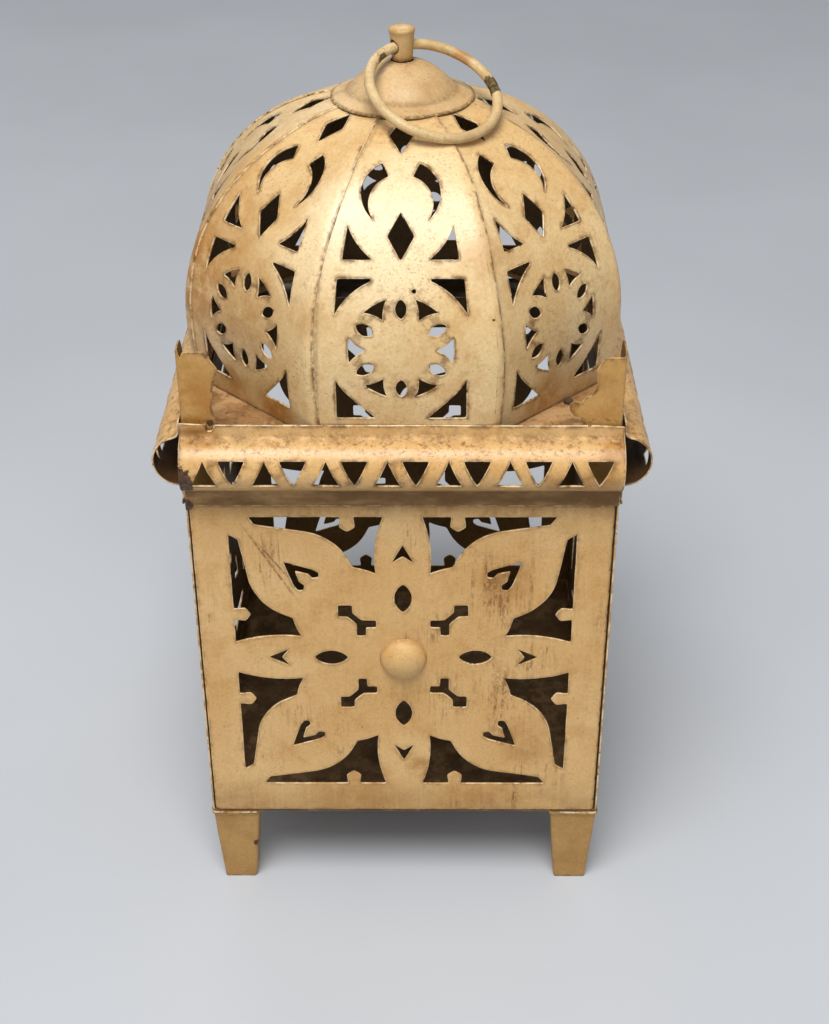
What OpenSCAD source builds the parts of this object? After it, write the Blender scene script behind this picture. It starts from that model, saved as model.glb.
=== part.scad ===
// Pierced sheet-metal candle lantern: a square body on four tapered feet, a rolled
// cornice with open corners, and an eight-sided pierced dome with a hanging ring.
// Origin: centre of the lantern on the surface it stands on. +Z up, door towards -Y.

/* [Body] */
// Outside width and depth of the square body
body_w = 97.5; // [96.5:0.5:98.5]
// Thickness of the sheet metal
sheet = 0.5; // [0.4:0.05:0.6]
// Height of the pierced side panels
panel_h = 97.5; // [96.5:0.5:98.5]
// Half the side of the square window in each panel
window_half = 39.7; // [39.2:0.1:40.2]

/* [Feet] */
// Height of a foot
foot_h = 24.2; // [18:0.5:30]
// Width of a foot at its top
foot_top_w = 11.7; // [10.5:0.1:13]
// Width of a foot at the surface it stands on
foot_end_w = 8.2; // [7:0.1:9]

/* [Cornice] */
// Outside radius of the rolled bead
bead_r = 6.35; // [6:0.05:6.6]
// Height of the flat flange under the bead
low_flange_h = 4.8; // [4:0.1:5.5]
// Height of the flat lip above the bead
lip_h = 3.2; // [2.5:0.1:4]
// Number of upright triangles cut in one strip
tooth_count = 7; // [5:1:7]
// Distance between two upright triangles
tooth_pitch = 13.4; // [12.8:0.1:13.4]

/* [Corner posts] */
// Width of each leg of a corner post
post_w = 8.8; // [8:0.1:9.5]
// Height of the corner posts' tops above the surface
post_top_z = 154.8; // [148:0.2:160]

/* [Dome] */
// Inscribed radius of the eight-sided dome at its base
dome_base_r = 48.1; // [47.6:0.1:48.3]
// Inscribed radius at its widest
dome_wide_r = 49.5; // [49:0.1:50]
// Radius of the curve from the widest place to the crown
dome_curve_r = 45; // [44:0.5:46]
// Height of the widest place above the base
dome_wide_h = 16.9; // [16:0.1:18]
// Inscribed radius of the hole that the cap covers
crown_hole_r = 13; // [12:0.5:14]

/* [Cap and ring] */
// Radius of the cap's brim
cap_r = 16.3; // [15.8:0.1:17]
// Height of the finial above the cap
finial_h = 7.2; // [6.8:0.1:9]
// Radius of the ring's wire
wire_r = 1.15; // [1:0.05:1.25]
// Radius of the ring, measured to the middle of its wire
ring_r = 14.45; // [14:0.05:15]

/* [Hidden] */
$fn = 64;
eps = 0.01;
cream = [0.86, 0.73, 0.52];
dome_cream = [0.90, 0.79, 0.62];
rust = [0.55, 0.42, 0.31];

half = body_w / 2;
tray_z = foot_h;
panel_z = tray_z + sheet;
panel_top_z = panel_z + panel_h;
pattern_z = panel_z + panel_h / 2;

// Door: it closes between the side panels and turns on a rod in its rolled edge.
door_gap = 0.3;
rod_r = 0.4;
rod_bore_r = 0.45;
roll_r = 0.85;
rod_x = half - sheet - door_gap - roll_r;
rod_y = -half + roll_r;
door_top_z = panel_top_z - 5.9;
flange_z = door_top_z + 0.3;
bracket_z = flange_z + 0.1;
bracket_w = 4;
rod_head_h = 0.4;
rod_head_r = 0.8;

// Cornice
bead_z = flange_z + low_flange_h + bead_r;
lip_z = bead_z + bead_r;
lip_top_z = lip_z + lip_h;
bead_c = half + 0.3;
tooth_low = -2.8;
tooth_high = 3.35;
tooth_half_w = 2.9;
tooth_shift = 0.46;

// Top plate and dome
plate_z = lip_top_z - 4.3;
dome_z = plate_z + sheet;
plate_half = half - sheet - 0.55;
plate_hole_r = dome_base_r - 2.1;
rivet_at = [37.7, -32];
rivet_r = 0.65;
wide_z = dome_z + dome_wide_h;
flare = dome_wide_r - dome_base_r;
skirt_r = (dome_wide_h * dome_wide_h + flare * flare) / (2 * flare);
skirt_len = skirt_r * asin(dome_wide_h / skirt_r) * PI / 180;
curve_c = dome_wide_r - dome_curve_r;
gore_gap = 0.02;
octagon_half_angle = 22.5;

// Gore pattern: u is across the gore, s is the length along the sheet from its base edge
wheel_s = 21.9;
wheel_r = 16;
wheel_side = 14.1;
wheel_low_s = 5.4;
wheel_top_s = 37.2;
bar_top_s = 41.2;

// Cap, finial and ring
brim_drop = 0.2;
brim_gap = 0.06;
fold_r = cap_r * cos(octagon_half_angle) - curve_c;
cap_z = wide_z + sqrt(dome_curve_r * dome_curve_r - fold_r * fold_r) + brim_gap + brim_drop;
cap_t = 0.5;
cap_dome_r = 11.8;
cap_dome_z = cap_z + 1.9;
cap_top_z = cap_z + 8.2;
finial_low_r = 2.3;
finial_neck_r = 2.7;
finial_top_r = 3.1;
ring_hole_r = 1.7;
hole_z = cap_top_z + 3;
shank_r = 1.5;
washer_r = 15;
washer_z = cap_z - 1.5;
hole_turn = 33;
ring_drop = 27.4;

// Points on the arc from a to b that bows to the left of the line a-b by sag, or to the right
// where sag is negative
function bow(a, b, sag, n = 8) =
    let (along = (b - a) / norm(b - a), out = sign(sag) * [-along[1], along[0]],
        r = (pow(norm(b - a), 2) / 4 + sag * sag) / (2 * abs(sag)),
        c = (a + b) / 2 + out * (abs(sag) - r), w = asin(norm(b - a) / 2 / r))
    [for (i = [0 : n]) let (t = w * (2 * i / n - 1)) c + r * (out * cos(t) + along * sin(t))];

module four_ways() {
    for (a = [0 : 90 : 270]) rotate(a) children();
}

module both_sides() {
    children();
    mirror([1, 0]) children();
}

// A pointed oval from [0, low] to [0, high]
module lens(low, high, half_w) {
    len = high - low;
    r = (len * len / 4 + half_w * half_w) / (2 * half_w);
    translate([0, (low + high) / 2])
        intersection() {
            translate([r - half_w, 0]) circle(r = r);
            translate([half_w - r, 0]) circle(r = r);
        }
}

// ---- Pattern of a side panel, centred on the panel ----

// The opening between an axis petal and a corner petal, above the centre and to its right
module petal_opening() {
    throat = [6.3, 24.1];
    root = [4.5, window_half];
    tip = [35, window_half];
    shoulder = [23.5, 35.95];
    waist = [12.7, 28.4];
    cusp = [11.5, 25.9];
    polygon(concat(bow(throat, root, -0.95), [tip, [33.6, 37.6]], bow(shoulder, waist, -1.7),
        bow(cusp, throat, -0.25, 4)));
}

// The small pointed tab that stands into an opening from the window's edge
module edge_tab() {
    tab_x = 12.6;
    translate([tab_x, window_half])
        polygon([[-1.5, 1], [-1.5, 0], [-1.85, -2.6], [-1.4, -3.1], [0, -4], [1.4, -3.1],
            [1.85, -2.6], [1.5, 0], [1.5, 1]]);
}

module arrowhead() {
    polygon([[0, 32.1], [-2.5, 27.1], [0, 29], [2.5, 27.1]]);
}

module hook() {
    corner = [27.5, 27.5];
    side = [[24.9, 24.9], [21.8, 24.1], [21, 22.9], [19.5, 23.1], [19.4, 24.4], [20.7, 25.3]];
    other = [for (i = [5 : -1 : 1]) [side[i][1], side[i][0]]];
    polygon(concat(side, [corner], other));
}

// Square head, slanting stem and forked foot of the key-shaped hole
module key_cut() {
    head_w = 3.3;
    head_at = 13.6;
    stem_w = 1.6;
    arm_w = 2.1;
    arm_from = 6.4;
    arm_to = 10.9;
    translate([head_at, head_at]) square(head_w, center = true);
    rotate(-45) translate([-stem_w / 2, 13.6]) square([stem_w, 4.5]);
    translate([arm_from, arm_to - arm_w]) square([arm_to - arm_from, arm_w]);
    translate([arm_to - arm_w, arm_from]) square([arm_w, arm_to - arm_from]);
}

module panel_cuts() {
    four_ways() {
        both_sides()
            difference() {
                petal_opening();
                edge_tab();
            }
        lens(13.1, 21.2, 2.05);
        arrowhead();
        hook();
        key_cut();
    }
}

// A pierced sheet standing in the XZ plane, its outer face at y = 0 and its back at y = sheet
module pierced_sheet(x0, x1, z0, z1) {
    boss_hole_r = 1.25;
    rotate([90, 0, 0])
        translate([0, pattern_z, -sheet])
            linear_extrude(sheet)
                difference() {
                    translate([x0, z0 - pattern_z]) square([x1 - x0, z1 - z0]);
                    panel_cuts();
                    circle(r = boss_hole_r);
                }
}

module front_door() {
    color(cream)
        difference() {
            union() {
                translate([0, -half, 0])
                    pierced_sheet(-rod_x - roll_r, rod_x, panel_z + door_gap, door_top_z);
                translate([rod_x, rod_y, panel_z + door_gap])
                    cylinder(r = roll_r, h = door_top_z - panel_z - door_gap);
            }
            translate([rod_x, rod_y, panel_z]) cylinder(r = rod_bore_r, h = panel_h);
        }
}

// A fixed panel, turned to its side of the body
module fixed_panel(turn, x0, x1) {
    color(cream)
        rotate(turn) translate([0, -half, 0]) pierced_sheet(x0, x1, panel_z, panel_top_z);
}

module left_panel() {
    fixed_panel(-90, -half + sheet, half - 0.15);
}

module right_panel() {
    fixed_panel(90, -half + 0.15, half - sheet);
}

module rear_panel() {
    fixed_panel(180, -half, half);
}

// Domed stud in the middle of a panel, with its shank and the peened end behind
module boss(turn) {
    boss_r = 5.65;
    boss_h = 3.9;
    ball_r = (boss_r * boss_r + boss_h * boss_h) / (2 * boss_h);
    boss_shank_r = 1.2;
    tail_r = 2;
    tail_h = 0.6;
    color(cream)
        rotate(turn) translate([0, -half, pattern_z]) rotate([90, 0, 0]) {
            intersection() {
                translate([0, 0, boss_h - ball_r]) sphere(r = ball_r);
                cylinder(r = boss_r + 1, h = boss_h + 1);
            }
            translate([0, 0, -sheet - eps]) cylinder(r = boss_shank_r, h = sheet + 1);
            translate([0, 0, -sheet - tail_h]) cylinder(r = tail_r, h = tail_h);
        }
}

module hinge_rod() {
    color(rust)
        translate([rod_x, rod_y, 0]) {
            translate([0, 0, tray_z]) cylinder(r = rod_r, h = bracket_z + sheet - tray_z + eps);
            translate([0, 0, bracket_z + sheet]) cylinder(r = rod_head_r, h = rod_head_h);
        }
}

// Small plate inside the front right corner that holds the rod's upper end
module hinge_bracket() {
    color(rust)
        difference() {
            translate([half - sheet - bracket_w, -half, bracket_z]) cube([bracket_w, bracket_w, sheet]);
            translate([rod_x, rod_y, bracket_z - 1]) cylinder(r = rod_r + 0.02, h = 3);
        }
}

// ---- Base ----

// Floor pan: its rims meet at the corners, the front one just behind the door's rolled edge
module base_tray() {
    rim_h = 4;
    rim_out = half - sheet;
    front_rim_y = rod_y + roll_r + 0.3;
    rim_depth = rim_out - front_rim_y;
    plate_out = half - 0.3;
    color(rust)
        difference() {
            union() {
                translate([-plate_out, -plate_out, tray_z]) cube([2 * plate_out, 2 * plate_out, sheet]);
                translate([0, 0, panel_z - eps])
                    difference() {
                        translate([-rim_out, front_rim_y, 0]) cube([2 * rim_out, rim_depth, rim_h]);
                        translate([sheet - rim_out, front_rim_y + sheet, -1])
                            cube([2 * (rim_out - sheet), rim_depth - 2 * sheet, rim_h + 2]);
                    }
            }
            translate([rod_x, rod_y, tray_z - 1]) cylinder(r = rod_r + 0.02, h = 3);
        }
}

// Outline of a foot seen square-on, inset on every side by in; the outer edge is at u = 0
module foot_side(in) {
    outer_slope = 1.55;
    polygon([[in, foot_h + eps], [outer_slope + in, 0], [outer_slope + foot_end_w - in, 0],
        [foot_top_w - in, foot_h + eps]]);
}

module foot_solid(in) {
    depth = 30;
    intersection() {
        translate([0, depth - 5, 0]) rotate([90, 0, 0]) linear_extrude(depth) foot_side(in);
        translate([-5, 0, 0]) rotate([90, 0, 90]) linear_extrude(depth) foot_side(in);
    }
}

// Hollow folded foot with a closed sole; the corner of the body is at its outer corner
module foot(sx, sy) {
    color(cream)
        scale_corner(sx, sy)
            intersection() {
                difference() {
                    foot_solid(0);
                    intersection() {
                        foot_solid(sheet);
                        translate([0, 0, sheet]) cube([30, 30, foot_h + 1]);
                    }
                }
                cube([30, 30, foot_h]);
            }
}

// Puts something drawn from the corner inwards at the corner with signs sx, sy
module scale_corner(sx, sy) {
    mirror([sx > 0 ? 1 : 0, 0, 0])
        mirror([0, sy > 0 ? 1 : 0, 0])
            translate([-half, -half, 0]) children();
}

// ---- Cornice ----

// Section of a strip: the first coordinate is the distance out from the lantern's axis
module cornice_section() {
    translate([half, flange_z]) square([sheet, low_flange_h + 0.1]);
    intersection() {
        translate([bead_c, bead_z])
            difference() {
                circle(r = bead_r);
                circle(r = bead_r - sheet);
            }
        translate([half, bead_z - bead_r]) square([bead_r + 2, 2 * bead_r]);
    }
    translate([half, lip_z - 0.1]) square([sheet, lip_h + 0.1]);
}

// One triangle of the strip's zigzag, centred at x; up is 1 for upright and -1 for hanging
module tooth(x, up) {
    foot_at = up > 0 ? tooth_low : tooth_high;
    tip_at = up > 0 ? tooth_high : tooth_low;
    translate([x, bead_z])
        polygon([[-tooth_half_w, foot_at], [tooth_half_w, foot_at], [0, tip_at]]);
}

module cornice(turn) {
    first_x = -tooth_pitch * (tooth_count - 1 + tooth_shift) / 2;
    color(cream)
        rotate(turn)
            difference() {
                translate([-half, 0, 0])
                    rotate([90, 0, 90]) mirror([1, 0, 0]) linear_extrude(body_w) cornice_section();
                translate([0, -bead_c - 2, 0])
                    rotate([90, 0, 0])
                        linear_extrude(bead_r)
                            for (i = [0 : tooth_count - 1]) {
                                tooth(first_x + i * tooth_pitch, 1);
                                tooth(first_x + (i + tooth_shift) * tooth_pitch, -1);
                            }
            }
}

// ---- Corner posts ----

// Face of one leg, from the corner inwards, with a sloped shoulder and a bitten inner edge
module post_face() {
    base_z = bracket_z + sheet + rod_head_h + 0.2;
    waist_z = lip_top_z + 2;
    polygon([[0, base_z], [post_w, base_z], [post_w - 0.2, waist_z], [post_w - 2, waist_z + 3.5],
        [post_w - 1.6, waist_z + 7.5], [post_w - 0.3, waist_z + 10.6], [post_w - 3.8, post_top_z],
        [0, post_top_z]]);
}

module post(sx, sy) {
    color(cream)
        scale_corner(sx, sy)
            translate([sheet, sheet, 0]) {
                translate([0, sheet, 0]) rotate([90, 0, 0]) linear_extrude(sheet) post_face();
                rotate([90, 0, 90]) linear_extrude(sheet) post_face();
            }
}

// ---- Top plate ----

module octagon(r) {
    rotate(octagon_half_angle) circle(r = r / cos(octagon_half_angle), $fn = 8);
}

module top_plate() {
    color(rust)
        translate([0, 0, plate_z])
            linear_extrude(sheet)
                difference() {
                    square(2 * plate_half, center = true);
                    octagon(plate_hole_r);
                    for (turn = [0, 180]) rotate(turn) translate(rivet_at) circle(r = rivet_r);
                }
}

// Two round-headed rivets beside the dome's base, at opposite corners of the plate
module plate_rivets() {
    head_h = 0.7;
    head_r = 1.1;
    color(rust)
        for (turn = [0, 180])
            rotate(turn) translate(rivet_at) {
                translate([0, 0, plate_z - 0.4]) cylinder(r = rivet_r, h = sheet + 0.4 + eps);
                translate([0, 0, dome_z]) cylinder(r = head_r, h = head_h);
                translate([0, 0, plate_z - 0.5]) cylinder(r = head_r, h = 0.5);
            }
}

// ---- Dome ----

// The sheet between an outer arc of radius r, centred at c, and the arc inside it
module sheet_ring(c, r, sides) {
    translate(c)
        difference() {
            circle(r = r, $fn = sides);
            circle(r = r - sheet, $fn = sides);
        }
}

// Section of a gore from the plate to the crown hole: radius first, height second
module gore_section() {
    intersection() {
        sheet_ring([dome_wide_r - skirt_r, wide_z], skirt_r, 200);
        translate([0, dome_z]) square([dome_wide_r + 1, dome_wide_h]);
    }
    intersection() {
        sheet_ring([curve_c, wide_z], dome_curve_r, 120);
        translate([crown_hole_r, wide_z]) square([dome_curve_r, dome_curve_r]);
    }
}

// Angle of the sheet's outward normal above the horizontal, at arc length s
function tilt(s) = (s - skirt_len) / (s < skirt_len ? skirt_r : dome_curve_r) * 180 / PI;
// Inscribed radius and height of the outer surface at arc length s
function dome_r(s) = s < skirt_len ? dome_wide_r - skirt_r * (1 - cos(tilt(s)))
    : curve_c + dome_curve_r * cos(tilt(s));
function dome_h(s) = wide_z + (s < skirt_len ? skirt_r : dome_curve_r) * sin(tilt(s));

// Cuts children, drawn in the sheet's own (u, s) plane, square through the sheet around s
module cut_at(s) {
    through = 5;
    translate([0, -dome_r(s), dome_h(s)])
        rotate([90 - tilt(s), 0, 0])
            translate([0, -s, -through / 2])
                linear_extrude(through) children();
}

// One of the wheel's six larger openings: a triangle with bowed sides, pointing inwards
module wheel_wedge() {
    spread = 14;
    outer = 11.4;
    inner = 7.6;
    a = [-outer * sin(spread), outer * cos(spread)];
    b = [outer * sin(spread), outer * cos(spread)];
    tip = [0, inner];
    polygon(concat(bow(a, b, 0.25, 4), bow(b, tip, -0.3, 4), bow(tip, a, -0.3, 4)));
}

// Corner openings round the wheel, below and above
module wheel_low_corner() {
    difference() {
        translate([5.5, wheel_low_s]) square([wheel_side - 5.5, 12]);
        translate([0, wheel_s]) circle(r = wheel_r - 0.3);
        translate([0, wheel_low_s - 0.2]) polygon([[0, 0], [5.5, 0], [10.2, 4.6], [8, 6], [0, 6]]);
    }
}

module wheel_top_corner() {
    difference() {
        polygon([[3, wheel_top_s], [3, 26], [wheel_side, 26], [wheel_side, 29.5],
            [wheel_side - 0.7, wheel_top_s]]);
        translate([0, wheel_s]) circle(r = wheel_r + 0.1);
        translate([-1, 20]) square([7.4, 18]);
    }
}

// Triangle beside the leaf, with a hollow long side
module leaf_side() {
    top = [11.1, 48.5];
    heel = [6.1, bar_top_s];
    polygon(concat(bow(heel, top, -0.7), [[12.3, bar_top_s]]));
}

module crescent() {
    difference() {
        translate([0, 55.7]) circle(r = 8.4);
        translate([0, 53.3]) circle(r = 6.9);
        polygon([[1.98, 58.2], [5.4, 66.5], [-20, 66.5], [-20, 40], [0, 40], [0, 58.2]]);
    }
}

module gore_cuts() {
    for (k = [0 : 5]) {
        lens_turn = 60 * k;
        wedge_turn = 60 * k + 30;
        cut_at(wheel_s + 9 * cos(lens_turn))
            translate([0, wheel_s]) rotate(lens_turn) lens(6.9, 11, 1.2);
        cut_at(wheel_s + 10 * cos(wedge_turn))
            translate([0, wheel_s]) rotate(wedge_turn) wheel_wedge();
    }
    cut_at(9) both_sides() wheel_low_corner();
    cut_at(34) both_sides() wheel_top_corner();
    cut_at(44) both_sides() leaf_side();
    cut_at(46) polygon([[0, 40.9], [2.85, 46.1], [0, 51.4], [-2.85, 46.1]]);
    cut_at(57.5) both_sides() crescent();
    cut_at(71) polygon([[0, 65.6], [2.6, 71.1], [0, 76.2], [-2.6, 71.1]]);
}

// One eighth of the dome: a sheet bent one way only, with its pierced pattern
module gore(turn) {
    wedge_r = 60;
    wedge_x = wedge_r * tan(octagon_half_angle) - gore_gap;
    color(dome_cream)
        rotate(turn)
            difference() {
                intersection() {
                    translate([-wedge_r / 2, 0, 0])
                        rotate([90, 0, 90]) mirror([1, 0, 0]) linear_extrude(wedge_r) gore_section();
                    linear_extrude(cap_top_z)
                        polygon([[0, -gore_gap], [wedge_x, -wedge_r], [-wedge_x, -wedge_r]]);
                }
                gore_cuts();
            }
}

// The front gore also has a small pinhole above its wheel
module gore_front() {
    difference() {
        gore(0);
        cut_at(34.6) translate([2.8, 34.6]) circle(r = 0.45, $fn = 16);
    }
}

// ---- Crown ----

module dome_cap() {
    low = cap_dome_z;
    top = cap_top_z;
    rise = top - low;
    ball_r = (cap_dome_r * cap_dome_r + rise * rise) / (2 * rise);
    color(dome_cream)
        difference() {
            rotate_extrude()
                difference() {
                    union() {
                        intersection() {
                            translate([0, top - ball_r]) circle(r = ball_r, $fn = 96);
                            translate([0, low - 1]) square([cap_dome_r, rise + 2]);
                        }
                        polygon([[0, low - 1], [cap_dome_r - 0.3, low - 1], [cap_r, cap_z - brim_drop],
                            [cap_r, cap_z + brim_drop], [cap_dome_r + 1.6, cap_z + 1.15],
                            [cap_dome_r, low + 0.3], [0, low + 0.3]]);
                    }
                    intersection() {
                        translate([0, top - ball_r]) circle(r = ball_r - cap_t, $fn = 96);
                        translate([0, low - 0.5]) square([cap_dome_r - 0.6, rise + 2]);
                    }
                    polygon([[0, low - 0.4], [cap_dome_r - 0.6, low - 0.4], [cap_dome_r + 1.4, cap_z + 0.7],
                        [cap_r + 0.1, cap_z - brim_drop - eps], [cap_r, low - 5], [0, low - 5]]);
                }
            translate([0, 0, low]) cylinder(r = shank_r + 0.02, h = 20);
        }
}

// Disc under the gores' tips that the finial's shank clamps
module crown_washer() {
    color(rust)
        translate([0, 0, washer_z])
            difference() {
                cylinder(r = washer_r, h = sheet);
                translate([0, 0, -1]) cylinder(r = shank_r + 0.02, h = 3);
            }
}

// Tapered plug with a flattened head, a cross hole for the ring and a peened shank
module finial() {
    tail_h = 0.8;
    head_h = 1;
    neck_h = 0.6;
    chamfer = 0.35;
    finial_top_z = cap_top_z + finial_h;
    color(dome_cream)
        difference() {
            union() {
                rotate_extrude()
                    polygon([[0, cap_top_z], [finial_low_r, cap_top_z],
                        [finial_neck_r, finial_top_z - head_h - neck_h],
                        [finial_top_r, finial_top_z - head_h], [finial_top_r, finial_top_z - chamfer],
                        [finial_top_r - chamfer, finial_top_z], [0, finial_top_z]]);
                translate([0, 0, washer_z - eps]) cylinder(r = shank_r, h = cap_top_z - washer_z + 1);
                translate([0, 0, washer_z - tail_h]) cylinder(r = shank_r + 1.2, h = tail_h);
            }
            translate([0, 0, hole_z])
                rotate([0, 90, hole_turn]) cylinder(r = ring_hole_r, h = 20, center = true);
        }
}

// Wire ring through the finial, lying over the front right of the dome
module hang_ring() {
    color(dome_cream)
        translate([0, 0, hole_z])
            rotate(hole_turn)
                rotate([ring_drop, 0, 0])
                    translate([0, -ring_r, 0])
                        rotate_extrude() translate([ring_r, 0]) circle(r = wire_r, $fn = 32);
}

base_tray();
foot(-1, -1);  // foot_front_left
foot(1, -1);  // foot_front_right
foot(-1, 1);  // foot_rear_left
foot(1, 1);  // foot_rear_right
front_door();
boss(0);  // door_knob
hinge_rod();
hinge_bracket();
left_panel();
right_panel();
rear_panel();
boss(-90);  // left_boss
boss(90);  // right_boss
boss(180);  // rear_boss
cornice(0);  // cornice_front
cornice(180);  // cornice_rear
cornice(-90);  // cornice_left
cornice(90);  // cornice_right
post(-1, -1);  // post_front_left
post(1, -1);  // post_front_right
post(-1, 1);  // post_rear_left
post(1, 1);  // post_rear_right
top_plate();
plate_rivets();
gore_front();
gore(45);  // gore_front_right
gore(90);  // gore_right
gore(135);  // gore_rear_right
gore(180);  // gore_rear
gore(225);  // gore_rear_left
gore(270);  // gore_left
gore(315);  // gore_front_left
dome_cap();
crown_washer();
finial();
hang_ring();
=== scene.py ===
import math

import bpy
import numpy as np
from mathutils import Matrix, Vector, kdtree, noise
from mathutils.geometry import delaunay_2d_cdt
from numpy.linalg import norm


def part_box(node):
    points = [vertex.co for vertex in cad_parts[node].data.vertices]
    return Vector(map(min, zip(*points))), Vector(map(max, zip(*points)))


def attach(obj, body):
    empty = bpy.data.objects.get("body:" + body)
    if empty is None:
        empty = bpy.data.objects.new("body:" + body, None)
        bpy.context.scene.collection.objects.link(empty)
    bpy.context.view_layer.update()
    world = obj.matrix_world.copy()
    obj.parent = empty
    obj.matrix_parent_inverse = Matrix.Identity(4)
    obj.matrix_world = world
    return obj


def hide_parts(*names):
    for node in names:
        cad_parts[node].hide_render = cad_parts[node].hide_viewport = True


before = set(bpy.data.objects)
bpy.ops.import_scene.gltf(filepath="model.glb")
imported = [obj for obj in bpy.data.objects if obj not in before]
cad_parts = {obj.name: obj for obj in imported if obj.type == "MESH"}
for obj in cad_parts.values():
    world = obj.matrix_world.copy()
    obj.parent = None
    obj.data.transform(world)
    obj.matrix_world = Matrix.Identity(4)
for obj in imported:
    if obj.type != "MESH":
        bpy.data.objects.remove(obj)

MM = 0.001
NO_EDGE = 3.0  # the edge attribute, in millimetres, of points that lie near no cut edge
SHARP = math.radians(38)
# Without a seed of its own, mathutils' noise starts from the clock
noise.seed_set(1)
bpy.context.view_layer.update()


def box(node):
    """Lowest and highest corner of a CAD node, in millimetres."""
    low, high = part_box(node)
    return np.array(low) / MM, np.array(high) / MM


# ---- Sizes, from the CAD frame ----

SHEET = 0.5
GORE_SHEET = 0.42
DOOR_SHEET = 0.45
BEVEL = 0.1
HALF = box("rear_panel")[1][0]
TRAY_Z = box("base_tray")[0][2]
DOOR_LOW, DOOR_HIGH = box("front_door")
CENTRE_Z = TRAY_Z + SHEET + HALF
FLANGE_Z = box("cornice_front")[0][2]
LIP_TOP_Z = box("cornice_front")[1][2]
BEAD_OUT = -box("cornice_front")[0][1]
BEAD_R = 6.35
BEAD_C = BEAD_OUT - BEAD_R
LIP_H = 3.2
BEAD_Z = LIP_TOP_Z - LIP_H - BEAD_R
PLATE_Z = box("top_plate")[0][2]
DOME_Z = PLATE_Z + SHEET
WIDE_R = -box("gore_front")[0][1]
BASE_R = 48.1
WIDE_H = 16.9
WIDE_Z = DOME_Z + WIDE_H
CURVE_R = 45.0
CURVE_C = WIDE_R - CURVE_R
SKIRT_R = (WIDE_H ** 2 + (WIDE_R - BASE_R) ** 2) / (2 * (WIDE_R - BASE_R))
SKIRT_LEN = SKIRT_R * math.asin(WIDE_H / SKIRT_R)
FOLD = math.tan(math.radians(22.5))
POST_FACE = HALF - SHEET
POST_TOP_Z = box("post_front_left")[1][2]
CAP_RIM_R = box("dome_cap")[1][0]
CAP_LOW_Z, CAP_TOP_Z = box("dome_cap")[0][2], box("dome_cap")[1][2]
FINIAL_TOP_Z = box("finial")[1][2]
RING_HOLE_Z = FINIAL_TOP_Z - 4.2
RING_TURN, RING_DROP = 33, 27.4


# ---- Points and outlines ----

def columns(*values):
    return np.stack(values, axis=1)


def spin(points, degrees):
    """Points turned about the lantern's axis."""
    c, s = math.cos(math.radians(degrees)), math.sin(math.radians(degrees))
    return np.asarray(points, float) @ np.array([[c, s, 0], [-s, c, 0], [0, 0, 1]])


def solid(points):
    """Points with a third coordinate of 0 where they have only two."""
    points = np.asarray(points, float)
    return np.pad(points, ((0, 0), (0, 3 - points.shape[1])))


def turned(points, matrix):
    return points @ np.array(matrix.to_3x3().transposed())


def rotation(degrees, axis):
    return Matrix.Rotation(math.radians(degrees), 4, axis)


def wobble(points, size, amplitude, seed=0.0):
    """A smooth offset for each point, with bumps of that size."""
    shift = Vector((seed, seed, seed))
    return amplitude * np.array([noise.noise_vector(Vector(p) + shift) for p in solid(points) / size])


def ease(x):
    """0 below 0 and 1 above 1, with a smooth step between."""
    x = np.clip(x, 0, 1)
    return x * x * (3 - 2 * x)


def search_tree(points):
    tree = kdtree.KDTree(len(points))
    for k, p in enumerate(solid(points)):
        tree.insert(p, k)
    tree.balance()
    return tree


def cad_mesh(node, weld=0.004):
    """Welded vertices, in millimetres, and triangles of a CAD node."""
    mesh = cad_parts[node].data
    mesh.calc_loop_triangles()
    points = np.array([v.co for v in mesh.vertices], float) / MM
    corners = np.array([t.vertices[:] for t in mesh.loop_triangles], int)
    tree = search_tree(points)
    same = np.array([min(k for _, k, _ in tree.find_range(p, weld)) for p in points])
    return points, same[corners]


def outlines(node, to_sheet, near=0.02):
    """The closed outlines of a CAD node's outer face, in sheet coordinates, with the metal on
    their left. to_sheet gives each point's place across, along and under the outer face."""
    points, corners = cad_mesh(node)
    sheet = to_sheet(points)
    flat = corners[(np.abs(sheet[:, 2]) < near)[corners].all(axis=1)]
    a, b, c = (sheet[flat[:, k], :2] for k in range(3))
    area = (b[:, 0] - a[:, 0]) * (c[:, 1] - a[:, 1]) - (b[:, 1] - a[:, 1]) * (c[:, 0] - a[:, 0])
    flat = flat[area > 1e-5]
    edges = {(int(t[k]), int(t[(k + 1) % 3])) for t in flat for k in range(3)}
    follows = {}
    for start, end in edges:
        if (end, start) not in edges:
            follows.setdefault(start, []).append(end)
    loops = []
    while follows:
        start = next(iter(follows))
        loop, here = [start], follows[start].pop()
        while here != start:
            loop.append(here)
            here = follows[here].pop()
        follows = {k: v for k, v in follows.items() if v}
        loops.append(sheet[loop, :2])
    return [loop for loop in loops if len(loop) > 2]


def divided(loop, step):
    """A closed outline with its long sides divided, and points that nearly touch dropped."""
    kept = [p for p, q in zip(loop, np.roll(loop, -1, axis=0)) if norm(q - p) > 0.03]
    kept = np.array(kept)
    points = []
    for a, b in zip(kept, np.roll(kept, -1, axis=0)):
        count = max(1, math.ceil(norm(b - a) / step))
        points.extend(a + (b - a) * k / count for k in range(count))
    return np.array(points)


def softened(loop):
    """A closed outline with its corners rounded a little, as punched and painted metal is."""
    return (np.roll(loop, 1, axis=0) + 6 * loop + np.roll(loop, -1, axis=0)) / 8


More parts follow.
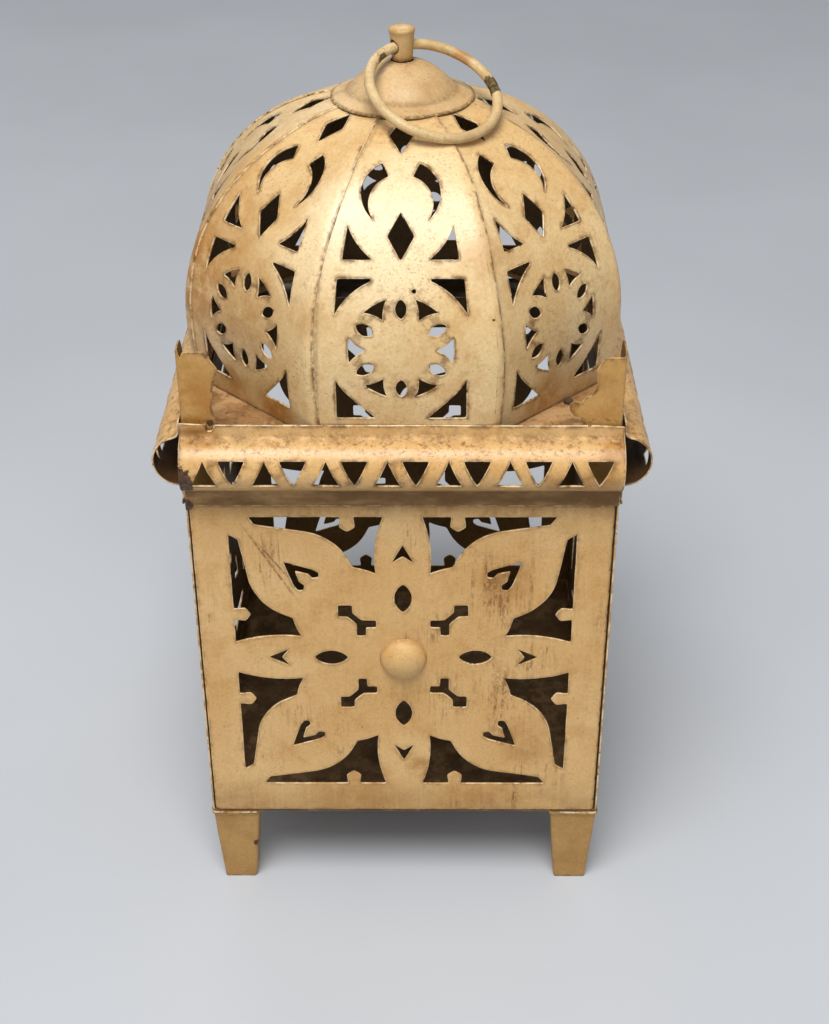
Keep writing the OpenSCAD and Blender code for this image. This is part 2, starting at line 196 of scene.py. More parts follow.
def inset(loop, distance):
    """A closed outline moved into the metal, which is on its left."""
    ahead = np.roll(loop, -1, axis=0) - loop
    ahead /= norm(ahead, axis=1)[:, None]
    behind = np.roll(ahead, 1, axis=0)
    left = columns(-ahead[:, 1], ahead[:, 0])
    last = columns(-behind[:, 1], behind[:, 0])
    bend = np.maximum(1 + (left * last).sum(axis=1), 0.45)
    return loop + distance * (left + last) / bend[:, None]


def longest(loops, axis):
    """Which outline reaches furthest along an axis."""
    return max(range(len(loops)), key=lambda k: np.ptp(loops[k][:, axis]))


def in_metal(points, loops):
    """Which points lie inside the outlines, by the even-odd rule."""
    a = np.vstack(loops)
    b = np.vstack([np.roll(loop, -1, axis=0) for loop in loops])
    rise = b[:, 1] - a[:, 1]
    rise[rise == 0] = 1e-12
    found = []
    for part in np.array_split(points, max(1, len(points) // 1500)):
        y = part[:, 1, None]
        across = a[:, 0] + (y - a[:, 1]) * (b[:, 0] - a[:, 0]) / rise
        hits = ((a[:, 1] > y) != (b[:, 1] > y)) & (part[:, 0, None] < across)
        found.append(hits.sum(axis=1) % 2 == 1)
    return np.concatenate(found)


def nearest(points, targets):
    """Distance from each point to the nearest target."""
    tree = search_tree(targets)
    return np.array([tree.find(p)[2] for p in solid(points)])


# ---- Meshes ----

def add_object(name, data):
    made = bpy.data.objects.new(name, data)
    bpy.context.scene.collection.objects.link(made)
    return made


def make_object(name, points, faces, attributes, sharp=SHARP):
    """A smooth-shaded mesh from points in millimetres, with float attributes on its points."""
    mesh = bpy.data.meshes.new(name)
    mesh.from_pydata((np.asarray(points) * MM).tolist(), [], faces)
    for key, values in attributes.items():
        values = np.full(len(points), values, np.float32)
        mesh.attributes.new(key, "FLOAT", "POINT").data.foreach_set("value", values)
    mesh.shade_smooth()
    mesh.set_sharp_from_angle(angle=sharp)
    return add_object(name, mesh)


def pierced_sheet(name, loops, place, seed, grid=2.0, step=0.8, thick=SHEET, wave=0.06, extra=None,
                  dirt_and_shade=None):
    """Sheet metal cut to these outlines. place(points, depth) bends it into its shape, and the function given
    for creases tells how much grime and painted shade lie in a crease at each point, from 0 to 1."""
    loops = [softened(divided(loop, step)) for loop in loops]
    loops = [loop + wobble(loop, 4.0, wave, seed)[:, :2] for loop in loops]
    rim_wear_and_highlight = [inset(loop, BEVEL) for loop in loops]
    rim = np.vstack(rim_wear_and_highlight)
    low, high = rim.min(axis=0), rim.max(axis=0)
    across, along = (np.arange(low[k] + grid / 2, high[k], grid) for k in range(2))
    field = np.array([(x + grid / 4 * (-1) ** j, y) for j, y in enumerate(along) for x in across])
    band = np.vstack([inset(loop, 0.45) for loop in loops])
    inner = []
    for group, room in ((band, 0.25), (field, 0.75)):
        group = group[in_metal(group, loops)]
        inner.append(group[nearest(group, rim) > room])
    if extra is not None:
        inner.append(extra[in_metal(extra, loops) & (nearest(extra, rim) > 0.3)])
        inner[1] = inner[1][nearest(inner[1], inner[2]) > 0.4]
    given = np.vstack([rim] + inner)
    edges, start = [], 0
    for loop in rim_wear_and_highlight:
        ids = np.arange(len(loop)) + start
        edges += list(zip(ids.tolist(), np.roll(ids, -1).tolist()))
        start += len(loop)
    cut = delaunay_2d_cdt([Vector(p) for p in given], edges, [], 0, 1e-5)
    flat = np.array([v[:] for v in cut[0]])
    faces = np.array([f for f in cut[2] if len(f) == 3])
    faces = faces[in_metal(flat[faces].mean(axis=1), rim_wear_and_highlight)]
    found = {k: i for i, origins in enumerate(cut[3]) for k in origins}
    rim_ids = np.array([found[k] for k in range(len(rim))])
    edge_of = nearest(flat, np.vstack([divided(loop, 0.2) for loop in loops]))
    n, m = len(flat), len(rim)
    wall = np.vstack(loops)
    points = np.vstack([
        place(flat, np.zeros(n)), place(flat, np.full(n, thick)),
        place(wall, np.full(m, BEVEL)), place(wall, np.full(m, thick - BEVEL))])
    polygons = faces.tolist() + (faces[:, ::-1] + n).tolist()
    rows = [rim_ids, np.arange(m) + 2 * n, np.arange(m) + 2 * n + m, rim_ids + n]
    for a, b in edges:
        for upper, under in zip(rows, rows[1:]):
            polygons.append([int(upper[b]), int(upper[a]), int(under[a]), int(under[b])])
    values = {
        "edge": np.concatenate([edge_of, edge_of, np.zeros(2 * m)]),
        "inner": np.concatenate([np.zeros(n), np.ones(n), np.zeros(m), np.full(m, 0.6)]),
    }
    if dirt_and_shade:
        values["crease_dirt_and_shade"] = np.concatenate([dirt_and_shade(flat), np.zeros(n + 2 * m)])
    return make_object(name, points, polygons, values)


def revolved(name, profile, segments, uneven, seed, dirt_and_shade, at=(0, 0, 0), turn=Matrix(), closed=False):
    """A profile of (radius, height) points turned about Z, then turned and moved into place.
    The function given for creases tells, from radius and height, how much grime and painted shade lie there,
    from 0 to 1."""
    angles = np.arange(segments) * 2 * math.pi / segments
    rings, faces, points = [], [], []
    for r, z in profile:
        count = 1 if r < 1e-6 else segments
        rings.append((len(points), count))
        points += [(r * math.cos(t), r * math.sin(t), z) for t in angles[:count]]
    pairs = list(zip(rings, rings[1:]))
    if closed:
        pairs.append((rings[-1], rings[0]))
    for (low, around_low), (high, around_high) in pairs:
        for k in range(segments):
            here = [low + k % around_low, low + (k + 1) % around_low,
                    high + (k + 1) % around_high, high + k % around_high]
            corners = list(dict.fromkeys(here))
            if len(corners) > 2:
                faces.append(corners)
    points = np.array(points)
    crease_dirt_and_shade = np.clip(dirt_and_shade(np.hypot(points[:, 0], points[:, 1]), points[:, 2]), 0, 1)
    points = turned(points + wobble(points, 5.0, uneven, seed), turn)
    return make_object(name, points + at, faces, {"edge": NO_EDGE, "crease_dirt_and_shade": crease_dirt_and_shade})


def capped_tube(rows, count):
    """Faces that join rows of count points, each a closed outline, and close both ends."""
    faces = []
    for low in range(0, (rows - 1) * count, count):
        for j in range(count):
            k = (j + 1) % count
            faces.append([low + j, low + k, low + count + k, low + count + j])
    last = (rows - 1) * count
    return faces + [list(range(count))[::-1], list(range(last, last + count))]


# ---- Materials ----

def srgb(red, green, blue):
    """A linear colour from 0 to 255 values as a screen shows them."""
    linear = [(c / 255 / 12.92) if c < 11 else ((c / 255 + 0.055) / 1.055) ** 2.4 for c in (red, green, blue)]
    return (*linear, 1.0)


class Shader:
    """Builds one material's nodes. Its methods return output sockets."""

    def __init__(self, name):
        self.material = bpy.data.materials.new(name)
        self.material.use_nodes = True
        self.tree = self.material.node_tree
        self.tree.nodes.clear()
        here = self.add("TexCoord").outputs["Object"]
        self.place = self.vector("MULTIPLY", here, (1 / MM, 1 / MM, 1 / MM))

    def add(self, kind, inputs=None, **settings):
        made = self.tree.nodes.new("ShaderNode" + kind)
        for key, value in settings.items():
            setattr(made, key, value)
        for key, value in (inputs or {}).items():
            if isinstance(value, bpy.types.NodeSocket):
                self.tree.links.new(value, made.inputs[key])
            else:
                made.inputs[key].default_value = value
        return made

    def noise(self, size, detail, rough, stretch=(1, 1), shift=0.0):
        """Noise from 0 to 1 whose features are about size millimetres. Stretch makes them
        longer sideways or upward where it is less than 1."""
        sideways, upward = (k / size for k in stretch)
        where = self.vector("MULTIPLY_ADD", self.place, (sideways, sideways, upward),
                            (shift, shift * 0.7, shift * 1.3))
        return self.add("TexNoise", {
            "Vector": where, "Scale": 1.0, "Detail": detail, "Roughness": rough}).outputs["Fac"]

    def step(self, value, low, high):
        """0 below low and 1 above high, or the reverse where high is below low."""
        falling = high < low
        made = self.add("MapRange", {
            "Value": value, "From Min": min(low, high), "From Max": max(low, high),
            "To Min": float(falling), "To Max": float(not falling)}, interpolation_type="SMOOTHSTEP")
        return made.outputs["Result"]

    def patches(self, size, low, high, detail=4.0, rough=0.6, **where):
        """Patches about size millimetres across: 0 where the noise is under low, 1 over high."""
        return self.step(self.noise(size, detail, rough, **where), low, high)

    def math(self, operation, a, b=0.0):
        return self.add("Math", {0: a, 1: b}, operation=operation).outputs[0]

    def vector(self, operation, *inputs, output="Vector"):
        made = self.add("VectorMath", dict(enumerate(inputs)), operation=operation)
        return made.outputs[output]

    def times(self, *values):
        out = values[0]
        for value in values[1:]:
            out = self.math("MULTIPLY", out, value)
        return out

    def plus(self, *values):
        out = values[0]
        for value in values[1:]:
            out = self.math("ADD", out, value)
        return out

    def most(self, a, b):
        return self.math("MAXIMUM", a, b)

    def sway(self, noise, amount):
        """Noise moved to either side of 0, and spread over that amount."""
        return self.times(self.math("SUBTRACT", noise, 0.5), amount)

    def mix(self, share, a, b):
        """Colour a, and colour b where share is 1."""
        return self.add("Mix", {0: share, 6: a, 7: b}, data_type="RGBA").outputs[2]

    def coat(self, tone, *shares):
        """Lays a tone over the colour so far, as thick as the product of the shares."""
        self.colour = self.mix(self.times(*shares), self.colour, tone)

    def stored(self, name):
        return self.add("Attribute", attribute_name=name).outputs["Fac"]

    def height(self, low, high):
        """0 below one height, in millimetres, and 1 above another, or the reverse."""
        return self.step(self.add("SeparateXYZ", {0: self.place}).outputs["Z"], low, high)

    def near(self, spot, reach):
        """1 at a spot, in millimetres, falling to 0 at reach away from it."""
        return self.step(self.vector("DISTANCE", self.place, spot, output="Value"), reach, reach * 0.25)

    def finish(self, roughness, height, bump, specular=0.5):
        dent = self.add("Bump", {"Height": height, "Strength": bump, "Distance": MM}).outputs[0]
        shader = self.add("BsdfPrincipled", {"Base Color": self.colour, "Roughness": roughness,
                                             "Specular IOR Level": specular, "Normal": dent})
        out = self.add("OutputMaterial")
        self.tree.links.new(shader.outputs[0], out.inputs["Surface"])
        return self.material


# The tones of wear on every paint, and of soot and old paint on bare steel
PINKISH, PAINTED_HIGHLIGHT, STAIN = srgb(224, 170, 124), srgb(244, 222, 178), srgb(168, 112, 42)
GRIME, DARK_GRIME, SHADE = srgb(130, 90, 40), srgb(104, 70, 32), srgb(114, 76, 10)
LEDGE_DIRT_AND_SHADE, WASH, SPECKLE = srgb(128, 84, 36), srgb(158, 108, 56), srgb(136, 92, 44)
RUBBED, SCRATCH, RUN, SCORE = srgb(150, 104, 52), srgb(122, 80, 36), srgb(128, 84, 34), srgb(116, 74, 40)
CREASE_DIRT_AND_SHADE, RIM_WEAR_AND_HIGHLIGHT = srgb(92, 62, 28), srgb(250, 224, 182)
SOOT, OLD_PAINT = srgb(44, 30, 18), srgb(196, 158, 112)


def lay_blotches(s, tones, grime, highlights, stains):
    """Blotches in three tones, with paler spots of painted highlight and ochre stains."""
    base, pale, tan = tones
    s.colour = s.mix(s.step(s.broad, 0.34, 0.68), base, pale)
    s.coat(tan, s.step(s.middle, 0.46, 0.72), 0.55)
    s.coat(PINKISH, s.patches(3.2, 0.55, 0.75, 3, shift=31), 0.2)
    # Paler spots laid on as painted highlights
    for spot, reach, share in highlights:
        s.coat(PAINTED_HIGHLIGHT, s.near(spot, reach), share)
    ochre = s.times(s.patches(17, 0.62, 0.86, 5, 0.62, shift=23), 0.4 * grime)
    for spot, reach, share in stains:
        stain = s.times(s.near(spot, reach), s.patches(4.5, 0.2, 0.62, shift=spot[0]), share)
        ochre = s.most(ochre, stain)
    s.coat(STAIN, ochre)


def lay_grime(s, grime, shades, lines):
    """Grime by the cut edges, painted shade and grime in bands and along ledges, and grime rubbed in all
    over.
    """
    s.coat(GRIME, s.step(s.edge, 1.4, 0.15), s.patches(4.5, 0.47, 0.66, 5, 0.7, shift=41), grime)
    s.coat(DARK_GRIME, s.step(s.edge, 0.75, 0.2), s.patches(3.1, 0.40, 0.60, 4, 0.65, shift=43), 0.8 * grime)
    for low, high, share in shades:
        s.coat(SHADE, s.height(low, high),
               s.times(s.patches(6, 0.1, 0.6, stretch=(0.35, 1), shift=low), share))
    # Grime and painted shade along ledges
    for level, reach, share in lines:
        ledge = s.times(s.height(level - reach, level), s.height(level + reach, level))
        s.coat(LEDGE_DIRT_AND_SHADE, ledge, s.patches(0.9, 0.50, 0.62, 5, 0.75, stretch=(0.6, 1), shift=77), share)
    s.coat(WASH, s.patches(2.2, 0.5, 0.72, 5, 0.72, shift=151), s.patches(20, 0.3, 0.65, 3, 0.5, shift=161),
           0.5 * grime)


def lay_speckle(s, speckle):
    """Speckle, thick in some places and thin in others."""
    thick = s.patches(14, 0.4, 0.66, 3, 0.5, shift=51)
    dots = s.times(s.patches(0.5, 0.55, 0.70, 3, shift=61), s.most(thick, 0.35), 0.75 * speckle)
    s.coat(SPECKLE, dots)
    return dots


def lay_scratches(s, pale, streaks, streaked, scores):
    """Upright brush marks, scratches and a few long runs, and scores at an angle."""
    patchy = s.patches(9, 0.50, 0.68, stretch=(1, 0.45), shift=81)
    for spot, reach in streaked:
        patchy = s.most(patchy, s.times(s.near(spot, reach), 0.85))
    s.coat(RUBBED, s.patches(0.55, 0.48, 0.72, 4, 0.65, stretch=(1, 0.08), shift=171),
           s.most(patchy, 0.12), 0.5 * streaks)
    scratched = s.times(s.patches(0.95, 0.57, 0.68, 4, 0.62, stretch=(1, 0.09), shift=71),
                        s.patches(2.6, 0.40, 0.62, 4, 0.7, shift=181), patchy, 0.85 * streaks)
    s.coat(SCRATCH, scratched)
    s.coat(RUN, s.patches(2.4, 0.55, 0.66, stretch=(1, 0.07), shift=201),
           s.patches(1.7, 0.44, 0.56, 5, 0.8, stretch=(1, 0.5), shift=211), s.most(patchy, 0.1),
           min(1.0, streaks))
    for start, end in scores:
        start, end = Vector(start), Vector(end)
        across = (end - start).cross(Vector((0, 1, 0))).normalized()
        off = s.vector("DOT_PRODUCT", s.place, across, output="Value")
        off = s.math("ABSOLUTE", s.math("SUBTRACT", off, start.dot(across)))
        s.coat(SCORE, s.step(s.plus(off, s.sway(s.middle, 0.9)), 0.42, 0.1),
               s.near((start + end) / 2, (end - start).length / 2 + 2), s.step(s.fine, 0.3, 0.55), 0.8)
    s.coat(pale, s.patches(0.8, 0.5, 0.8, 2, 0.5, stretch=(1, 0.05), shift=91), min(0.25, 0.5 * streaks))
    return scratched


def lay_chips(s, chips, rim_wear_and_highlight, bare, metal):
    """Pale cut edges, worn paint and painted highlight together, then chips, pits and bare places that show
    rusty metal.
    """
    # Pale cut edges: worn paint, and a painted highlight
    s.coat(RIM_WEAR_AND_HIGHLIGHT, s.step(s.edge, 0.26, 0.05), s.patches(2.4, 0.40, 0.60, 3, shift=101), rim_wear_and_highlight)
    ragged = s.plus(s.edge, s.times(s.noise(1.3, 4, 0.65, shift=111), 2.2))
    chipped = s.times(s.step(ragged, 1.0, 0.86), s.patches(8, 0.5, 0.58, 3, shift=121), chips * 2.5)
    pits = s.times(s.patches(1.6, 0.735, 0.76, 3, 0.55, shift=131), s.step(s.middle, 0.4, 0.6), chips * 2)
    chipped = s.most(s.math("MINIMUM", chipped, 1.0), s.math("MINIMUM", pits, 1.0))
    for spot, reach in bare:
        torn = s.plus(s.near(spot, reach), s.sway(s.middle, 1.6), s.sway(s.fine, 0.5))
        chipped = s.most(chipped, s.step(torn, 0.50, 0.56))
    dark, light = (srgb(*tone) for tone in metal)
    s.coat(s.mix(s.step(s.fine, 0.35, 0.65), dark, light), chipped)
    return chipped


def worn_paint(name, tones, speckle=0.5, streaks=0.4, grime=0.5, chips=0.35, rim_wear_and_highlight=0.6, mottle=0.34,
               gloss=0.42, inside=(122, 90, 46), metal=((48, 37, 27), (104, 66, 36)), highlights=(), stains=(),
               streaked=(), bare=(), scores=(), shades=(), lines=()):
    """Old paint on steel, in three tones: base, pale and tan, with painted highlights and painted shade laid
    into its colour. Its inner side is brown.

    Places are in millimetres. Painted highlights and stains are (spot, reach, share), streaked and bare are
    (spot, reach), and scores are (start, end). shades, of painted shade and grime, are (height, height where
    it is full, share), and lines, of grime and painted shade along ledges, are (height, reach, share)."""
    s = Shader(name)
    s.edge, crease_dirt_and_shade = s.stored("edge"), s.stored("crease_dirt_and_shade")
    s.broad, s.middle = s.noise(26, 4, 0.6), s.noise(7, 4, 0.62, shift=11)
    s.fine, grain = s.noise(0.9, 3, 0.6, shift=5), s.noise(0.35, 2, 0.6, shift=8)
    lay_blotches(s, tones, grime, highlights, stains)
    lay_grime(s, grime, shades, lines)
    dots = lay_speckle(s, speckle)
    scratched = lay_scratches(s, tones[1], streaks, streaked, scores)
    # Grime and painted shade darken the creases, seams and joints
    s.coat(CREASE_DIRT_AND_SHADE, crease_dirt_and_shade, s.step(s.fine, 0.2, 0.6), 0.85)
    chipped = lay_chips(s, chips, rim_wear_and_highlight, bare, metal)
    tooth = s.plus(s.times(s.noise(0.8, 4, 0.7, shift=191), mottle), 1 - mottle / 2)
    s.colour = s.vector("MULTIPLY", s.colour, tooth)
    # The inner side never had the top coat
    light, dark, darkest = (srgb(*(share * c for c in inside)) for share in (1, 0.78, 0.52))
    under = s.mix(s.step(s.broad, 0.35, 0.65), light, dark)
    under = s.mix(s.times(s.step(s.fine, 0.5, 0.7), 0.6), under, darkest)
    s.coat(under, s.step(s.stored("inner"), 0.35, 0.75))
    rougher = s.most(chipped, s.most(dots, scratched))
    roughness = s.plus(gloss, s.times(s.middle, 0.14), s.times(rougher, 0.22), s.times(crease_dirt_and_shade, 0.6))
    height = s.plus(s.times(s.fine, 0.05), s.times(grain, 0.02), s.times(s.noise(5, 3, 0.5, shift=141), 0.12))
    height = s.math("SUBTRACT", height, s.times(s.most(chipped, s.times(scratched, 0.5)), 0.10))
    height = s.math("SUBTRACT", height, s.times(dots, 0.03))
    return s.finish(roughness, height, bump=0.55, specular=0.45)


def rusty_steel(name, dark, light, rust, paint_left=0.0):
    """Bare or thinly painted steel with rust blooms and soot."""
    s = Shader(name)
    broad, middle, fine = s.noise(11, 5, 0.65), s.noise(3, 4, 0.6, shift=7), s.noise(0.7, 3, 0.6, shift=9)
    s.colour = s.mix(s.step(broad, 0.35, 0.65), dark, light)
    s.coat(rust, s.step(middle, 0.45, 0.7), 0.8)
    s.coat(SOOT, s.step(fine, 0.55, 0.72), 0.6)
    if paint_left:
        s.coat(OLD_PAINT, s.patches(6, 0.5, 0.62, 5, 0.7, shift=17), paint_left)
    height = s.plus(s.times(middle, 0.12), s.times(fine, 0.06))
    return s.finish(s.plus(s.times(fine, 0.3), 0.5), height, bump=0.7, specular=0.35)


def on_front(*marks):
    """Marks given as (x, z, ...), as points on the front face with what follows them."""
    return [((x, -HALF, z), *rest) for x, z, *rest in marks]


CREAM = srgb(212, 167, 104), srgb(221, 181, 122), srgb(197, 146, 79)
DOME = srgb(214, 177, 120), srgb(228, 198, 146), srgb(201, 154, 94)
OCHRE = srgb(188, 142, 75), srgb(198, 156, 89), srgb(170, 120, 55)
FOOT = srgb(174, 131, 68), srgb(186, 145, 82), srgb(156, 112, 50)
CAP = srgb(198, 163, 112), srgb(214, 184, 138), srgb(174, 134, 84)
WIRE = srgb(204, 174, 122), srgb(220, 196, 150), srgb(168, 132, 82)
CORNICE_SHADOW = (111.0, 117.5, 0.6)

door_paint = worn_paint(
    "door_paint", CREAM, speckle=0.6, streaks=1.0, mottle=0.4, shades=[CORNICE_SHADOW, (38.0, 26.0, 0.34)],
    scores=[((-37, -HALF, 112), (-24, -HALF, 89)), ((-33, -HALF, 106), (-26, -HALF, 96))],
    stains=on_front((24, 96, 9, 0.6), (30, 47, 10, 0.55), (4, 39, 5, 0.8), (-12, 30, 16, 0.4),
                    (18, 26, 14, 0.4), (-40, 27, 10, 0.4)),
    streaked=on_front((23, 93, 15), (27, 60, 15), (33, 72, 10), (-32, 102, 10), (8, 62, 12), (31, 38, 13),
                      (-24, 56, 9)))
panel_paint = worn_paint("panel_paint", CREAM, speckle=0.45, streaks=0.6, shades=[CORNICE_SHADOW])
cornice_paint = worn_paint(
    "cornice_paint", CREAM, speckle=1.2, streaks=0.04, grime=0.9, mottle=0.44, gloss=0.28,
    inside=(84, 58, 32),
    bare=[((-HALF - 1, -BEAD_OUT, BEAD_Z - 1.5), 7.8), ((-HALF, -HALF - 1, FLANGE_Z), 3.2),
          ((-HALF + 6.8, -HALF - 0.5, LIP_TOP_Z - 0.6), 1.6)],
    stains=[((43, -BEAD_OUT, BEAD_Z - 1), 7, 0.8), ((34, -BEAD_OUT, BEAD_Z - 2), 4.5, 0.7),
            ((-44, -HALF, LIP_TOP_Z - 2), 7, 0.8), ((47, -52, BEAD_Z + 4), 6, 0.8)],
    shades=[(BEAD_Z - 2.0, FLANGE_Z + 3.4, 1.0)],
    # The lines are grime and painted shade in the hollow between bead and lip
    lines=[(BEAD_Z + 4.9, 0.9, 0.8), (BEAD_Z + 5.9, 0.9, 0.8), (LIP_TOP_Z - 2.7, 0.7, 0.6)])
dome_paint = worn_paint(
    "dome_paint", DOME, speckle=0.8, streaks=0.12, grime=1.0, chips=0.55, gloss=0.3, mottle=0.5,
    # The paler spots on the front and top of the dome are painted highlights
    highlights=[((-4, -46, 176), 20, 0.75), ((2, -32, 190), 14, 0.5), ((-22, -42, 172), 12, 0.5),
           ((-14, -38, 184), 14, 0.75), ((12, -40, 181), 12, 0.45)],
    # The widest stains, on the dome's left side, are stain and painted shade together
    stains=[((-27, -40, 138), 9, 1.0), ((-37, -28, 139), 10, 0.8), ((30, -36, 138), 9, 0.8),
            ((-46, -14, 160), 30, 0.9), ((-20, -44, 160), 8, 0.4), ((22, -42, 172), 12, 0.45),
            ((-36, -36, 158), 22, 0.5), ((-20, -30, 185), 12, 0.35), ((-38, -22, 174), 20, 0.5)])
foot_paint = worn_paint("foot_paint", FOOT, speckle=0.7, streaks=0.3, grime=1.0, mottle=0.42,
                        bare=[((-38.2, -48, 12.6), 1.5), ((-48.5, -48.5, 17), 1.2)])
post_paint = worn_paint(
    "post_paint", OCHRE, speckle=0.8, streaks=0.15, grime=1.1, rim_wear_and_highlight=0.15, mottle=0.42,
    stains=[((-46, -48, 141), 15, 0.85), ((44, -48, 137), 8, 0.6), ((37, -44, 140), 5, 1.0)],
    # The line is grime and painted shade where the posts meet the lip
    lines=[(LIP_TOP_Z + 0.6, 1.0, 1.0)], bare=[((-HALF + 6.9, -HALF, LIP_TOP_Z), 1.5)])
boss_paint = worn_paint("boss_paint", (CREAM[0], DOME[0], CREAM[2]), speckle=0.7, streaks=0.1, chips=0.1,
                        mottle=0.42)
cap_paint = worn_paint("cap_paint", CAP, speckle=1.2, streaks=0.0, grime=1.1, chips=0.2, mottle=0.5)
finial_paint = worn_paint(
    "finial_paint", (OCHRE[0], WIRE[0], OCHRE[2]), speckle=0.9, streaks=0.5, grime=0.8, chips=0.2, mottle=0.5,
    # The paler top is a painted highlight
    highlights=[((0, 0, FINIAL_TOP_Z), 2.6, 0.5)])
ring_paint = worn_paint(
    "ring_paint", WIRE, speckle=1.0, streaks=0.0, grime=1.2, chips=0.5, mottle=0.5,
    metal=((62, 50, 28), (112, 92, 48)),
    stains=[((-1, -9, 204), 6, 0.9), ((15, -17, 195), 5, 0.7), ((6, 4.5, 204.6), 4, 1.0),
            ((13, 1.5, 202), 4, 0.8)],
    bare=[((20.2, -5, 197), 4.6), ((5, 4.2, 203.6), 2.4), ((-4, -6, 203.4), 3.0), ((9.5, 3.6, 202.6), 2.2),
          ((16, -15, 193.5), 2.2)])
plate_steel = rusty_steel("plate_steel", srgb(128, 92, 54), srgb(164, 124, 78), srgb(128, 84, 52), 0.6)
tray_steel = rusty_steel("tray_steel", srgb(96, 74, 46), srgb(126, 98, 62), srgb(108, 68, 38), 0.3)
dark_steel = rusty_steel("dark_steel", srgb(50, 42, 36), srgb(82, 66, 52), srgb(88, 54, 32))


def fit_out(piece, material, node, body="root"):
    """Gives a piece its material, in its one slot, and its CAD body, and hides the CAD node it stands for."""
    piece.data.materials.clear()
    piece.data.materials.append(material)
    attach(piece, body)
    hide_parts(node)


# ---- Side panels and door ----

def upright(turn, seed):
    """place() for a flat panel whose outer face is HALF from the axis, turned to its side."""
    def place(points, depth):
        x, z = points.T
        dent = wobble(points, 30.0, 0.22, seed)[:, 2] + wobble(points, 9.0, 0.05, seed + 5)[:, 2]
        dent *= np.clip(1 - (x / HALF) ** 2, 0, 1) * np.clip(1 - ((z - CENTRE_Z) / HALF) ** 2, 0, 1)
        return spin(columns(x, depth + dent - HALF, z), turn)
    return place


def from_upright(turn):
    def to_sheet(points):
        x, y, z = spin(points, -turn).T
        return columns(x, z, y + HALF)
    return to_sheet


def make_panels():
    for name, turn, seed in (("left_panel", -90, 3.0), ("right_panel", 90, 17.0), ("rear_panel", 180, 29.0)):
        loops = outlines(name, from_upright(turn))
        piece = pierced_sheet(name + "_sheet", loops, upright(turn, seed), grid=2.4, seed=seed)
        fit_out(piece, panel_paint, name)


def make_door():
    """The door's sheet: rounded lower corners, and its right edge rolled round the rod."""
    roll_r, seed = 0.95, 41.0
    middle_r = roll_r - SHEET / 2
    wire_x = DOOR_HIGH[0] - 0.85
    curl = 1.6 * math.pi * middle_r
    flat_place = upright(0, seed)
    loops = outlines("front_door", from_upright(0))
    left, low, high, cut = DOOR_LOW[0], DOOR_LOW[2], DOOR_HIGH[2], 0.9
    loops[longest(loops, 0)] = np.array([
        (left, low + cut), (left + 0.3 * cut, low + 0.3 * cut), (left + cut, low), (wire_x + curl, low),
        (wire_x + curl, high), (left, high)])

    def place(points, depth):
        turn = np.clip(points[:, 0] - wire_x, 0, None) / middle_r
        reach = roll_r - depth
        x, y = wire_x + reach * np.sin(turn), roll_r - HALF - reach * np.cos(turn)
        rolled = columns(x, y, points[:, 1])
        return np.where((turn > 0)[:, None], rolled, flat_place(points, depth))

    rows = np.array([(wire_x + k * curl / 9, z) for k in range(10) for z in np.arange(low + 1, high, 1.6)])
    piece = pierced_sheet("front_door_sheet", loops, place, grid=2.2, seed=seed, extra=rows, thick=DOOR_SHEET)
    fit_out(piece, door_paint, "front_door", "door")


def make_bosses():
    """Domed studs, each with its shank through the sheet and the peened end behind."""
    r, rise, shank_r = 5.65, 3.9, 1.2
    back, end = -SHEET - 0.05, -SHEET - 0.6
    profile = [(r * math.sin(t), rise * math.cos(t) ** 1.15) for t in np.linspace(0, math.pi / 2 - 0.06, 14)]
    profile += [(r, 0.12), (r - 0.4, 0.0), (shank_r, 0.0), (shank_r, -SHEET - 0.02), (2.0, back), (1.8, end),
                (0, end)]
    for name, turn, body in (("door_knob", 0, "door"), ("left_boss", -90, "root"),
                             ("right_boss", 90, "root"), ("rear_boss", 180, "root")):
        piece = revolved(name + "_stud", profile[::-1], 56, uneven=0.07, seed=turn * 0.1 + 3,
                         # The stud's edge, where it meets the sheet, is darkened with grime and painted shade
                         dirt_and_shade=lambda radius, height: 0.4 * ease((radius - r + 0.8) / 0.8),
                         at=spin([(0, -HALF, CENTRE_Z)], turn)[0],
                         turn=rotation(turn, "Z") @ rotation(90, "X"))
        fit_out(piece, boss_paint, name, body)


# ---- Cornice ----

def cornice_profile():
    """Distance out and height along a strip's outer face, from the flange's foot to the lip."""
    face = HALF + SHEET
    hem = 1.1
    touch = math.acos((face - BEAD_C) / BEAD_R)
    line = [(face + 0.16, FLANGE_Z), (face + 0.16, FLANGE_Z + hem), (face, FLANGE_Z + hem + 0.25)]
    line += [(BEAD_C + BEAD_R * math.cos(t), BEAD_Z + BEAD_R * math.sin(t))
             for t in np.linspace(-touch, touch, 60)]
    line += [(face, LIP_TOP_Z)]
    line = np.array(line)
    run = np.concatenate([[0], np.cumsum(norm(np.diff(line, axis=0), axis=1))])
    along = np.arange(0, run[-1], 0.12)
    line = columns(*(np.interp(along, run, line[:, k]) for k in range(2)))
    for _ in range(5):
        line[1:-1] = (line[:-2] + 2 * line[1:-1] + line[2:]) / 4
    # The corner between bead and lip is a soft hollow
    corner = run[-2]
    near = np.flatnonzero(np.abs(along - corner) < 2.4)
    a, b = near[0], near[-1] + 1
    for _ in range(110):
        line[a:b] = (line[a - 1:b - 1] + 2 * line[a:b] + line[a + 1:b + 1]) / 4
    return along, line, corner


def torn_outline(length):
    """The front strip: its upper left end is bitten, and its lower left end is a bent tip."""
    from_left = [(0.1, -1.3), (1.0, -1.1), (2.4, 0), (2 * HALF, 0), (2 * HALF, length - 0.4),
                 (2 * HALF - 6, length - 0.1), (8.0, length), (7.6, length - 0.6), (7.2, length - 1.5),
                 (6.4, length - 1.4), (6.2, length + 0.5), (0, length + 0.9), (0.2, length * 0.6),
                 (0, length * 0.35)]
    return np.array(from_left) - (HALF, 0)


